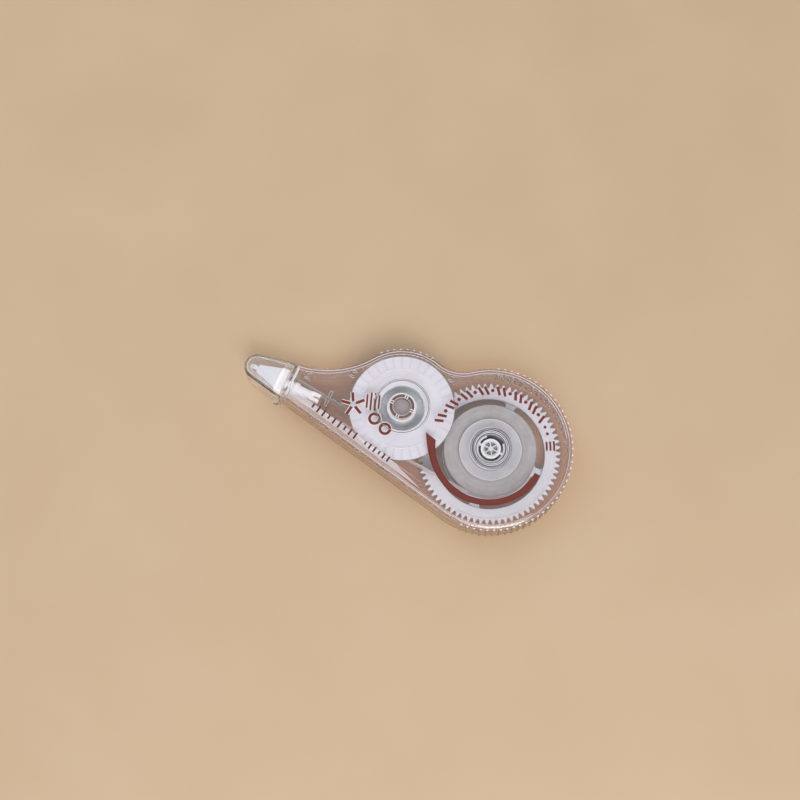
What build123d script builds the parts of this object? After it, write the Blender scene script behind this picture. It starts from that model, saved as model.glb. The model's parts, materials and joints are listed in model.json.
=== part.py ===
from build123d import *

import os
from math import acos, atan2, cos, degrees, hypot, pi, radians, sin, sqrt, tan

# Correction tape roller, in millimetres. A clear teardrop case in two shells holds a large
# geared supply reel and a smaller geared take-up reel. The tape runs from the roll along the
# straight edge, round the roller of the applicator head and back to the take-up reel. A clear
# cap slides off the head. The origin is the supply axis on the resting plane, +X runs to the
# take-up axis and the tip, +Y to the straight edge and +Z up through the thickness.

# ---- layout of the axes ----
GEAR_MODULE = 0.55
DRIVE_TEETH = 70
PINION_TEETH = 28
AXIS_SPACING = GEAR_MODULE * (DRIVE_TEETH + PINION_TEETH) / 2
SUPPLY = (0.0, 0.0)
TAKEUP = (AXIS_SPACING, 0.0)

# ---- heights through the thickness ----
THICKNESS = 13.0
SPLIT = THICKNESS / 2
PLATE = 1.2
INNER_TOP = THICKNESS - PLATE
TAPE_WIDTH = 5.0
AXIS_Z = SPLIT
TAPE_LOW = AXIS_Z - TAPE_WIDTH / 2
GEAR_LOW = 1.6
GEAR_HIGH = 3.6
WEB_HIGH = 2.4
PINION_LOW = 1.7
PINION_HIGH = 3.5
FLANGE_LOW = 9.3

# ---- case outline ----
REAR_RADIUS = 22.35
BULGE_RADIUS = 16.1
NECK_RADIUS = 10.0
BROW_RADIUS = 25.6
EDGE_SLOPE = 10.9
FRONT_X = 58.0
FRONT_TOP_Y = 1.5
WALL = 1.2
EDGE_ROUND = 0.8
GRIP_RADIUS = 0.38
GRIP_PITCH = 1.8
GRIP_LOW = 1.1
GRIP_HIGH = THICKNESS - GRIP_LOW
REAR_GRIP_START = 94.0
REAR_GRIP_SWEEP = 200.0
BULGE_GRIP_START = 264.0
BULGE_GRIP_SWEEP = 58.0

# ---- applicator head ----
HEAD_Y = 7.0
SHANK_RADIUS = 1.25
SHANK_RUN = 0.08
COLLAR_X = 59.3
COLLAR_DEPTH = 2.1
COLLAR_WIDTH = 7.1
COLLAR_HEIGHT = 8.2
CHEEK_TIP_X = 67.7
CHEEK_GAP = TAPE_WIDTH + 0.4
CHEEK_THICKNESS = 0.8
CHEEK_BASE = 6.1
CHEEK_TIP = 2.2
TIP_X = 69.1
TIP_RADIUS = 0.65
TIP_PIN_RADIUS = 0.22
TAIL_X = 48.8
TAIL_DEPTH = 2.5
TAIL_WIDTH = 2.6

# ---- cap ----
CAP_X = 58.6
CAP_NOSE = (67.85, 6.95)
CAP_NOSE_RADIUS = 3.45
CAP_TAPER = 11.2
CAP_WALL = 0.8
CAP_LOW = 0.25
CAP_HIGH = THICKNESS - CAP_LOW

# ---- tape ----
TAPE_THICKNESS = 0.12
CORE_RADIUS = 7.4
ROLL_RADIUS = 12.8
DRUM_RADIUS = 7.1
SPENT_RADIUS = 7.5
WINDOW_OFFSET = 2.5
WINDOW_WIDTH = 1.0
WINDOW_HEIGHT = TAPE_WIDTH + 0.6
TAPE_CLEARANCE = 0.06

# ---- hubs ----
AXLE_RADIUS = 2.1
RUN = 0.05
SLEEVE_RADIUS = 2.75
CLUTCH_RADIUS = 4.0
HUB_HOLE = 4.3
POST_RADIUS = 3.4
POST_BORE = 2.6
FLANGE_RADIUS = 14.5
HUB_DISC_RADIUS = 8.8


def polar(center, radius, angle):
    """Point at an angle, in degrees from +X, on a circle."""
    return (center[0] + radius * cos(radians(angle)), center[1] + radius * sin(radians(angle)))


def direction(start, end):
    """Angle in degrees, 0 to 360, of the way from one point to another."""
    return degrees(atan2(end[1] - start[1], end[0] - start[0])) % 360


def arc(center, radius, start_angle, end_angle):
    """Arc about a centre, through its middle angle."""
    middle = (start_angle + end_angle) / 2
    return ThreePointArc(
        polar(center, radius, start_angle),
        polar(center, radius, middle),
        polar(center, radius, end_angle),
    )


def meeting_point(first, first_radius, second, second_radius, side):
    """Where two circles cross, left (side 1) or right (side -1) of the way from first to second."""
    gap = hypot(second[0] - first[0], second[1] - first[1])
    along = (gap**2 + first_radius**2 - second_radius**2) / (2 * gap)
    bend = degrees(acos(along / first_radius))
    return polar(first, first_radius, direction(first, second) + side * bend)


def tangent_point(center, radius, outside, side):
    """Where the tangent from an outside point touches a circle, on the chosen side of the circle."""
    gap = hypot(outside[0] - center[0], outside[1] - center[1])
    return polar(center, radius, direction(center, outside) + side * degrees(acos(radius / gap)))


NECK_CENTER = meeting_point(
    SUPPLY, REAR_RADIUS + NECK_RADIUS, TAKEUP, BULGE_RADIUS + NECK_RADIUS, -1
)
BROW_CENTER = meeting_point(
    TAKEUP, BULGE_RADIUS + BROW_RADIUS, (FRONT_X, FRONT_TOP_Y), BROW_RADIUS, -1
)


def straight_edge_y(x, inset=0.0):
    """Y of the straight edge of the case at an X."""
    slope = radians(EDGE_SLOPE)
    return (REAR_RADIUS - inset - x * sin(slope)) / cos(slope)


def case_outline(inset=0.0):
    """Face of the teardrop outline, drawn in evenly: two bulges, a hollow neck and a hollow brow."""
    rear = REAR_RADIUS - inset
    bulge = BULGE_RADIUS - inset
    neck = NECK_RADIUS + inset
    brow = BROW_RADIUS + inset
    front_x = FRONT_X - inset
    edge_angle = 90 - EDGE_SLOPE
    brow_rise = sqrt(brow**2 - (front_x - BROW_CENTER[0]) ** 2)
    brow_end = direction(BROW_CENTER, (front_x, BROW_CENTER[1] + brow_rise))
    with BuildSketch(mode=Mode.PRIVATE) as outline:
        with BuildLine():
            arc(SUPPLY, rear, edge_angle, direction(SUPPLY, NECK_CENTER))
            arc(NECK_CENTER, neck, direction(NECK_CENTER, SUPPLY), direction(NECK_CENTER, TAKEUP))
            arc(TAKEUP, bulge, direction(TAKEUP, NECK_CENTER), direction(TAKEUP, BROW_CENTER))
            arc(BROW_CENTER, brow, direction(BROW_CENTER, TAKEUP), brow_end)
            Polyline(
                polar(BROW_CENTER, brow, brow_end),
                (front_x, straight_edge_y(front_x, inset)),
                polar(SUPPLY, rear, edge_angle),
            )
        make_face()
    return outline.sketch


def grip_ribs():
    """Half-round grip ribs round the rear bulge and over the take-up bulge."""
    rear_count = round(REAR_GRIP_SWEEP / degrees(GRIP_PITCH / REAR_RADIUS))
    bulge_count = round(BULGE_GRIP_SWEEP / degrees(GRIP_PITCH / BULGE_RADIUS))
    with BuildSketch(mode=Mode.PRIVATE) as ribs:
        with PolarLocations(REAR_RADIUS, rear_count, REAR_GRIP_START, REAR_GRIP_SWEEP):
            Circle(GRIP_RADIUS)
        with Locations(TAKEUP):
            with PolarLocations(BULGE_RADIUS, bulge_count, BULGE_GRIP_START, BULGE_GRIP_SWEEP):
                Circle(GRIP_RADIUS)
    return ribs.sketch


def ring(outer, inner, center=SUPPLY):
    """Flat ring about an axis."""
    with BuildSketch(mode=Mode.PRIVATE) as flat:
        with Locations(center):
            Circle(outer)
            Circle(inner, mode=Mode.SUBTRACT)
    return flat.sketch


def disc(radius, center=SUPPLY):
    """Flat disc about an axis."""
    with BuildSketch(mode=Mode.PRIVATE) as flat:
        with Locations(center):
            Circle(radius)
    return flat.sketch


def ring_sector(outer, inner, middle_angle, sweep):
    """Part of a ring about the supply axis, centred on an angle."""
    start = middle_angle - sweep / 2
    end = middle_angle + sweep / 2
    with BuildSketch(mode=Mode.PRIVATE) as flat:
        with BuildLine():
            arc(SUPPLY, outer, start, end)
            Line(polar(SUPPLY, outer, end), polar(SUPPLY, inner, end))
            arc(SUPPLY, inner, end, start)
            Line(polar(SUPPLY, inner, start), polar(SUPPLY, outer, start))
        make_face()
    return flat.sketch


def nose_openings():
    """Shank bearing and the two tape windows in the front wall, on a plane facing along X."""
    with BuildSketch(mode=Mode.PRIVATE) as openings:
        with Locations((HEAD_Y, AXIS_Z)):
            Circle(SHANK_RADIUS + SHANK_RUN)
            with Locations((-WINDOW_OFFSET, 0), (WINDOW_OFFSET, 0)):
                Rectangle(WINDOW_WIDTH, WINDOW_HEIGHT)
    return openings.sketch


def involute(angle):
    """Involute function of a pressure angle in radians."""
    return tan(angle) - angle


def gear_outline(teeth, first_tooth_angle, backlash=0.10):
    """Outer face of a spur gear with involute teeth."""
    pressure = radians(20)
    pitch_radius = GEAR_MODULE * teeth / 2
    base_radius = pitch_radius * cos(pressure)
    tip_radius = pitch_radius + GEAR_MODULE
    root_radius = pitch_radius - 1.25 * GEAR_MODULE
    start_radius = max(root_radius, base_radius)
    half_tooth = pi / (2 * teeth) - backlash / (2 * pitch_radius)
    flank = []
    for step in range(4):
        radius = start_radius + (tip_radius - start_radius) * step / 3
        turn = half_tooth + involute(pressure) - involute(acos(base_radius / radius))
        flank.append((radius, degrees(turn)))
    if start_radius > root_radius:
        flank.insert(0, (root_radius, flank[0][1]))
    points = []
    for tooth in range(teeth):
        middle = first_tooth_angle + 360 * tooth / teeth
        points += [polar(SUPPLY, radius, middle - turn) for radius, turn in flank]
        points += [polar(SUPPLY, radius, middle + turn) for radius, turn in reversed(flank)]
    with BuildSketch(mode=Mode.PRIVATE) as outline:
        with BuildLine():
            Polyline(*points, close=True)
        make_face()
    return outline.sketch


def tape_strip(start, end):
    """Face of a straight run of tape seen on its edge."""
    length = hypot(end[0] - start[0], end[1] - start[1])
    middle = ((start[0] + end[0]) / 2, (start[1] + end[1]) / 2)
    with BuildSketch(mode=Mode.PRIVATE) as strip:
        with Locations(Location((middle[0], middle[1], 0), (0, 0, direction(start, end)))):
            Rectangle(length, TAPE_THICKNESS)
    return strip.sketch


def cap_outline(inset, open_x):
    """Face of the cap outline: two straight sides closing on a round nose, open towards the case."""
    radius = CAP_NOSE_RADIUS - inset
    low_tangent = polar(CAP_NOSE, radius, CAP_TAPER - 90)
    high_tangent = polar(CAP_NOSE, radius, 90 - CAP_TAPER)
    rise = (low_tangent[0] - open_x) * tan(radians(CAP_TAPER))
    with BuildSketch(mode=Mode.PRIVATE) as outline:
        with BuildLine():
            arc(CAP_NOSE, radius, CAP_TAPER - 90, 90 - CAP_TAPER)
            Polyline(
                high_tangent,
                (open_x, high_tangent[1] + rise),
                (open_x, low_tangent[1] - rise),
                low_tangent,
            )
        make_face()
    return outline.sketch


os.makedirs("parts", exist_ok=True)

# ---- fittings inside the case. The locating pins stand clear of the reels and the tape ----
PIN_PLACES = [(54.0, 3.1), (43.0, -2.6), (41.5, 12.6), (18.0, -13.2)]
PIN_RADIUS = 0.6
PIN_TOP = 9.0
BOSS_RADIUS = 1.0
BOSS_DEPTH = 4.6
POST_TOP = INNER_TOP - 0.4
CROSS_PLACE = (47.0, HEAD_Y - 1.8)
CROSS_SIZE = (4.2, 4.8)
CROSS_ARM = 0.9
CROSS_TOP = 3.5
STOP_WALL_SIZE = (0.7, 2.8)
STOP_WALL_TOP = AXIS_Z + 1.4
PAWL_ROOT_X = 31.0
PAWL_BEND = (20.5, 16.9)
PAWL_ANGLE = 52.0
PAWL_GAP = 0.55
PAWL_THICKNESS = 0.6
PAWL_TOP = 4.8
CAP_TONGUE_LENGTH = 2.4
CAP_TONGUE_WIDTH = 6.0
CAP_TONGUE_THICKNESS = 0.7
AXLE_FOOT_RADIUS = 1.2
AXLE_FOOT_LOW = 0.4


def cap_tongue():
    """Face of the tongue that runs out of the case and grips the cap."""
    with BuildSketch(mode=Mode.PRIVATE) as tongue:
        with Locations((FRONT_X - WALL, HEAD_Y)):
            length = WALL + CAP_TONGUE_LENGTH
            Rectangle(length, CAP_TONGUE_WIDTH, align=(Align.MIN, Align.CENTER))
    return tongue.sketch


# ---- back case: floor, half wall, take-up post, tail seat, spring pawl and pins ----
with BuildPart() as back_case:
    with BuildSketch(Plane.XY):
        add(case_outline())
    extrude(amount=SPLIT)
    fillet(faces().sort_by(Axis.Z)[0].edges(), radius=EDGE_ROUND)
    with BuildSketch(Plane.XY.offset(PLATE)):
        add(case_outline(WALL))
    extrude(amount=SPLIT, mode=Mode.SUBTRACT)
    # grip ribs on the outside of the wall
    with BuildSketch(Plane.XY.offset(GRIP_LOW)):
        add(grip_ribs())
        add(case_outline(WALL), mode=Mode.SUBTRACT)
    extrude(amount=SPLIT - GRIP_LOW)
    # hollow post that carries the take-up reel
    with BuildSketch(Plane.XY.offset(PLATE)):
        add(ring(POST_RADIUS, POST_BORE, TAKEUP))
    extrude(amount=POST_TOP - PLATE)
    # pins that locate the front case
    with BuildSketch(Plane.XY.offset(PLATE)):
        with Locations(*PIN_PLACES):
            Circle(PIN_RADIUS)
    extrude(amount=PIN_TOP - PLATE)
    # low cross under the head's tail, and the stop wall behind the tail
    with BuildSketch(Plane.XY.offset(PLATE)):
        with Locations(CROSS_PLACE):
            Rectangle(CROSS_SIZE[0], CROSS_ARM)
            Rectangle(CROSS_ARM, CROSS_SIZE[1])
    extrude(amount=CROSS_TOP - PLATE)
    with BuildSketch(Plane.XY.offset(PLATE)):
        with Locations((TAIL_X - 0.5, HEAD_Y + 0.7)):
            Rectangle(*STOP_WALL_SIZE)
    extrude(amount=STOP_WALL_TOP - PLATE)
    # springy pawl beside the drive gear's teeth, which stops it running backwards
    pawl_root = (PAWL_ROOT_X, straight_edge_y(PAWL_ROOT_X, WALL) + PAWL_THICKNESS / 2)
    gear_tip_radius = GEAR_MODULE * (DRIVE_TEETH / 2 + 1)
    pawl_tip = polar(SUPPLY, gear_tip_radius + PAWL_GAP, PAWL_ANGLE)
    with BuildSketch(Plane.XY.offset(PLATE)):
        with BuildLine():
            ThreePointArc(pawl_root, PAWL_BEND, pawl_tip)
        trace(line_width=PAWL_THICKNESS)
    extrude(amount=PAWL_TOP - PLATE)
    with BuildSketch(Plane.XY.offset(PLATE)):
        add(cap_tongue())
    extrude(amount=CAP_TONGUE_THICKNESS)
    # bearing for the shank, windows for the tape, socket for the supply axle
    with BuildSketch(Plane.YZ.offset(FRONT_X + 0.5)):
        add(nose_openings())
    extrude(amount=-(WALL + 1.0), mode=Mode.SUBTRACT)
    with BuildSketch(Plane.XY.offset(AXLE_FOOT_LOW)):
        Circle(AXLE_FOOT_RADIUS)
    extrude(amount=PLATE, mode=Mode.SUBTRACT)
back_case.part.label = "back_case"
export_step(back_case.part, "parts/back_case.step")

# ---- front case: face, half wall, hub window, slotted post seat and pin bosses ----
RING_DEPTH = 0.35
SUPPLY_RING = (5.75, 5.0)
TAKEUP_RING = (7.8, 7.2)
HOLD_RING = (6.0, 5.3)
HOLD_RING_DEPTH = 1.35
PLUG_DEPTH = 2.2
BRIDGE_WIDTH = 0.5
with BuildPart() as front_case:
    with BuildSketch(Plane.XY.offset(SPLIT)):
        add(case_outline())
    extrude(amount=THICKNESS - SPLIT)
    fillet(faces().sort_by(Axis.Z)[-1].edges(), radius=EDGE_ROUND)
    with BuildSketch(Plane.XY.offset(SPLIT)):
        add(case_outline(WALL))
    extrude(amount=INNER_TOP - SPLIT, mode=Mode.SUBTRACT)
    with BuildSketch(Plane.XY.offset(SPLIT)):
        add(grip_ribs())
        add(case_outline(WALL), mode=Mode.SUBTRACT)
    extrude(amount=GRIP_HIGH - SPLIT)
    # ring that holds the supply reel down
    with BuildSketch(Plane.XY.offset(INNER_TOP)):
        add(ring(*HOLD_RING))
    extrude(amount=-HOLD_RING_DEPTH)
    # plug that enters the take-up post
    with BuildSketch(Plane.XY.offset(INNER_TOP)):
        add(disc(POST_BORE - RUN, TAKEUP))
    extrude(amount=-PLUG_DEPTH)
    # bosses for the back case's pins
    with BuildSketch(Plane.XY.offset(INNER_TOP)):
        with Locations(*PIN_PLACES):
            Circle(BOSS_RADIUS)
            Circle(PIN_RADIUS, mode=Mode.SUBTRACT)
    extrude(amount=-BOSS_DEPTH)
    with BuildSketch(Plane.XY.offset(INNER_TOP)):
        add(cap_tongue())
    extrude(amount=-CAP_TONGUE_THICKNESS)
    # open hub window over the supply reel, bridged slots over the take-up post
    with BuildSketch(Plane.XY.offset(THICKNESS)):
        add(disc(HUB_HOLE))
        add(ring(POST_RADIUS, POST_BORE, TAKEUP))
        with Locations(TAKEUP):
            Rectangle(2 * POST_RADIUS + 1, BRIDGE_WIDTH, mode=Mode.SUBTRACT)
            Rectangle(BRIDGE_WIDTH, 2 * POST_RADIUS + 1, mode=Mode.SUBTRACT)
    extrude(amount=-PLATE, mode=Mode.SUBTRACT)
    # sunk rings round the two axes
    with BuildSketch(Plane.XY.offset(THICKNESS)):
        add(ring(*SUPPLY_RING))
        add(ring(*TAKEUP_RING, TAKEUP))
    extrude(amount=-RING_DEPTH, mode=Mode.SUBTRACT)
    with BuildSketch(Plane.YZ.offset(FRONT_X + 0.5)):
        add(nose_openings())
    extrude(amount=-(WALL + 1.0), mode=Mode.SUBTRACT)
front_case.part.label = "front_case"
export_step(front_case.part, "parts/front_case.step")

# ---- supply axle: pressed into the back case, with a six-spoked end ----
AXLE_TOP = 12.4
AXLE_COLLAR_RADIUS = 3.2
AXLE_COLLAR_HEIGHT = 0.25
SOCKET_RADIUS = 1.85
SOCKET_CORE_RADIUS = 0.65
SOCKET_DEPTH = 2.0
SOCKET_SPOKES = 6
SOCKET_SPOKE_WIDTH = 0.3
with BuildPart() as supply_axle:
    with BuildSketch(Plane.XY.offset(AXLE_FOOT_LOW)):
        add(disc(AXLE_FOOT_RADIUS))
    extrude(amount=PLATE)
    with BuildSketch(Plane.XY.offset(PLATE)):
        add(disc(AXLE_COLLAR_RADIUS))
    extrude(amount=AXLE_COLLAR_HEIGHT)
    with BuildSketch(Plane.XY.offset(PLATE)):
        add(disc(AXLE_RADIUS))
    extrude(amount=AXLE_TOP - PLATE)
    # star socket: a ring-shaped pocket crossed by six spokes
    with BuildSketch(Plane.XY.offset(AXLE_TOP)):
        add(ring(SOCKET_RADIUS, SOCKET_CORE_RADIUS))
        with PolarLocations(0, SOCKET_SPOKES):
            with Locations((SOCKET_RADIUS / 2, 0)):
                Rectangle(SOCKET_RADIUS, SOCKET_SPOKE_WIDTH, mode=Mode.SUBTRACT)
    extrude(amount=-SOCKET_DEPTH, mode=Mode.SUBTRACT)
supply_axle.part.label = "supply_axle"
export_step(supply_axle.part, "parts/supply_axle.step")

# ---- drive gear: toothed rim, four spokes, web and the sleeve that turns on the axle ----
TOOTH_RING_INNER = 18.1
RIM_INNER = 15.5
RIM_STEP = 0.35
WEB_RADIUS = 13.0
SPOKE_SWEEP = 10.5
SPOKE_ANGLES = [3.0, 99.0, 184.0, 271.0]
SLOT_CORNER = 0.9
OVERLAP = 0.1
SLEEVE_TOP = AXLE_TOP - 0.1


def web_slot(start, end):
    """Face of a slot in the gear's web, with rounded corners, from one spoke to the next."""
    with BuildSketch(mode=Mode.PRIVATE) as slot:
        add(ring_sector(RIM_INNER, WEB_RADIUS, (start + end) / 2, end - start))
        fillet(vertices(), radius=SLOT_CORNER)
    return slot.sketch


with BuildPart() as drive_gear:
    with BuildSketch(Plane.XY.offset(GEAR_LOW)):
        add(gear_outline(DRIVE_TEETH, 0.0))
        add(disc(TOOTH_RING_INNER), mode=Mode.SUBTRACT)
    extrude(amount=GEAR_HIGH - GEAR_LOW)
    with BuildSketch(Plane.XY.offset(GEAR_LOW)):
        add(ring(TOOTH_RING_INNER + OVERLAP, RIM_INNER))
    extrude(amount=GEAR_HIGH - GEAR_LOW - RIM_STEP)
    with BuildSketch(Plane.XY.offset(GEAR_LOW)):
        add(ring(RIM_INNER + OVERLAP, AXLE_RADIUS + RUN))
        next_angles = SPOKE_ANGLES[1:] + [SPOKE_ANGLES[0] + 360]
        for spoke_angle, next_angle in zip(SPOKE_ANGLES, next_angles):
            slot = web_slot(spoke_angle + SPOKE_SWEEP / 2, next_angle - SPOKE_SWEEP / 2)
            add(slot, mode=Mode.SUBTRACT)
    extrude(amount=WEB_HIGH - GEAR_LOW)
    with BuildSketch(Plane.XY.offset(GEAR_LOW)):
        add(ring(SLEEVE_RADIUS, AXLE_RADIUS + RUN))
    extrude(amount=SLEEVE_TOP - GEAR_LOW)
drive_gear.part.label = "drive_gear"
export_step(drive_gear.part, "parts/drive_gear.step")

# ---- clutch ring: an open spring ring keyed to the gear's sleeve, rubbing in the core's bore ----
CLUTCH_LOW = 8.8
CLUTCH_HIGH = 12.0
CLUTCH_INNER = CLUTCH_RADIUS - 0.6
CLUTCH_OPENING = 84.0
CLUTCH_LUG_WIDTH = 0.7
with BuildPart() as clutch_ring:
    with BuildSketch(Plane.XY.offset(CLUTCH_LOW)):
        add(ring(CLUTCH_RADIUS, CLUTCH_INNER))
        add(
            ring_sector(CLUTCH_RADIUS + OVERLAP, CLUTCH_INNER - OVERLAP, 270, CLUTCH_OPENING),
            mode=Mode.SUBTRACT,
        )
        lug_length = CLUTCH_INNER + OVERLAP - SLEEVE_RADIUS
        with PolarLocations(0, 2):
            with Locations((SLEEVE_RADIUS, 0)):
                Rectangle(lug_length, CLUTCH_LUG_WIDTH, align=(Align.MIN, Align.CENTER))
    extrude(amount=CLUTCH_HIGH - CLUTCH_LOW)
clutch_ring.part.label = "clutch_ring"
export_step(clutch_ring.part, "parts/clutch_ring.step")

# ---- supply core: bore tube, web and the mandrel that the roll is wound on ----
CORE_BORE = CLUTCH_RADIUS + RUN
CORE_TUBE = 4.75
CORE_LOW = 2.8
CORE_HIGH = 11.5
MANDREL_WALL = 0.8
CORE_WEB = 0.8
with BuildPart() as supply_core:
    with BuildSketch(Plane.XY.offset(CORE_LOW)):
        add(ring(CORE_TUBE, CORE_BORE))
    extrude(amount=CORE_HIGH - CORE_LOW)
    with BuildSketch(Plane.XY.offset(CORE_LOW)):
        add(ring(CORE_RADIUS, CORE_RADIUS - MANDREL_WALL))
    extrude(amount=FLANGE_LOW - CORE_LOW)
    with BuildSketch(Plane.XY.offset(AXIS_Z)):
        add(ring(CORE_RADIUS - MANDREL_WALL + OVERLAP, CORE_TUBE - OVERLAP))
    extrude(amount=CORE_WEB / 2, both=True)
supply_core.part.label = "supply_core"
export_step(supply_core.part, "parts/supply_core.step")

# ---- core flange: thin disc pressed on the core that keeps the roll in place ----
CORE_FLANGE_THICKNESS = 0.8
CORE_FLANGE_ROUND = 0.2
with BuildPart() as core_flange:
    with BuildSketch(Plane.XY.offset(FLANGE_LOW)):
        add(ring(HUB_DISC_RADIUS, CORE_TUBE))
    extrude(amount=CORE_FLANGE_THICKNESS)
    fillet(edges().filter_by(GeomType.CIRCLE).group_by(Axis.Z)[-1], radius=CORE_FLANGE_ROUND)
core_flange.part.label = "core_flange"
export_step(core_flange.part, "parts/core_flange.step")

# ---- tape roll: the wound correction tape ----
with BuildPart() as tape_roll:
    with BuildSketch(Plane.XY.offset(TAPE_LOW)):
        add(ring(ROLL_RADIUS, CORE_RADIUS))
    extrude(amount=TAPE_WIDTH)
tape_roll.part.label = "tape_roll"
export_step(tape_roll.part, "parts/tape_roll.step")

# ---- take-up pinion: meshes with the drive gear, keyed under the take-up reel ----
KEY_COUNT = 3
KEY_CIRCLE = 5.4
KEY_HOLE_RADIUS = 0.8
KEY_RADIUS = 0.78
with BuildPart() as takeup_pinion:
    with BuildSketch(Plane.XY.offset(PINION_LOW)):
        with Locations(TAKEUP):
            add(gear_outline(PINION_TEETH, 180.0 / PINION_TEETH))
            Circle(POST_RADIUS + RUN, mode=Mode.SUBTRACT)
            with PolarLocations(KEY_CIRCLE, KEY_COUNT):
                Circle(KEY_HOLE_RADIUS, mode=Mode.SUBTRACT)
    extrude(amount=PINION_HIGH - PINION_LOW)
takeup_pinion.part.label = "takeup_pinion"
export_step(takeup_pinion.part, "parts/takeup_pinion.step")

# ---- take-up reel: hub, cup-shaped drum, wide front flange and keys for the pinion ----
FLANGE_THICKNESS = 0.7
REEL_HUB_RADIUS = 4.1
REEL_HUB_TOP = INNER_TOP - 0.5
DRUM_WALL = 0.8
DRUM_FLOOR = 0.9
STEP_RING = (11.3, 10.9)
STEP_HEIGHT = 0.2
with BuildPart() as takeup_reel:
    with BuildSketch(Plane.XY.offset(PINION_HIGH)):
        add(ring(REEL_HUB_RADIUS, POST_RADIUS + RUN, TAKEUP))
    extrude(amount=REEL_HUB_TOP - PINION_HIGH)
    with BuildSketch(Plane.XY.offset(PINION_HIGH)):
        add(ring(DRUM_RADIUS, POST_RADIUS + RUN, TAKEUP))
    extrude(amount=DRUM_FLOOR)
    with BuildSketch(Plane.XY.offset(PINION_HIGH)):
        add(ring(DRUM_RADIUS, DRUM_RADIUS - DRUM_WALL, TAKEUP))
    extrude(amount=FLANGE_LOW - PINION_HIGH)
    with BuildSketch(Plane.XY.offset(FLANGE_LOW)):
        add(ring(FLANGE_RADIUS, DRUM_RADIUS - DRUM_WALL, TAKEUP))
    extrude(amount=FLANGE_THICKNESS)
    # raised step round the flange
    with BuildSketch(Plane.XY.offset(FLANGE_LOW + FLANGE_THICKNESS)):
        add(ring(*STEP_RING, TAKEUP))
    extrude(amount=STEP_HEIGHT)
    # keys that enter the pinion
    with BuildSketch(Plane.XY.offset(PINION_HIGH)):
        with Locations(TAKEUP):
            with PolarLocations(KEY_CIRCLE, KEY_COUNT):
                Circle(KEY_RADIUS)
    extrude(amount=-(PINION_HIGH - PINION_LOW - 0.1))
takeup_reel.part.label = "takeup_reel"
export_step(takeup_reel.part, "parts/takeup_reel.step")

# ---- spent tape: the first turns of used backing film on the drum ----
with BuildPart() as spent_tape:
    with BuildSketch(Plane.XY.offset(TAPE_LOW)):
        add(ring(SPENT_RADIUS, DRUM_RADIUS, TAKEUP))
    extrude(amount=TAPE_WIDTH)
spent_tape.part.label = "spent_tape"
export_step(spent_tape.part, "parts/spent_tape.step")

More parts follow.
